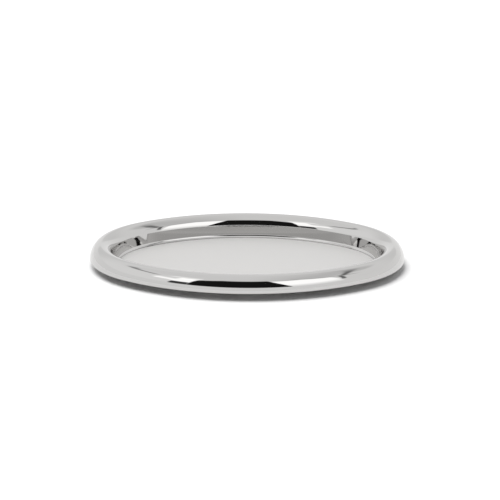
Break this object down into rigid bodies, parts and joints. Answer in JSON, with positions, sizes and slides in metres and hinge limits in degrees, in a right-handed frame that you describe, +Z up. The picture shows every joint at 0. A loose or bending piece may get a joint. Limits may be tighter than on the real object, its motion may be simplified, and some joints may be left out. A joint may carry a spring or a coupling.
{
  "type": "oval serving tray",
  "caption": "Oval serving tray pressed from one steel sheet, with a sunken flat floor and a broad rounded rim that folds down outside it.",
  "frame": {"origin": "on the table under the middle of the tray, at the centre of the flat underside", "axes": "+Z up, +X along the long axis of the oval, +Y along its short axis"},
  "size_m": [0.4, 0.3, 0.0289],
  "materials": {
    "polished_steel": "mirror polished stainless steel"
  },
  "bodies": {
    "root": {"tray": "polished_steel"}
  },
  "joints": []
}
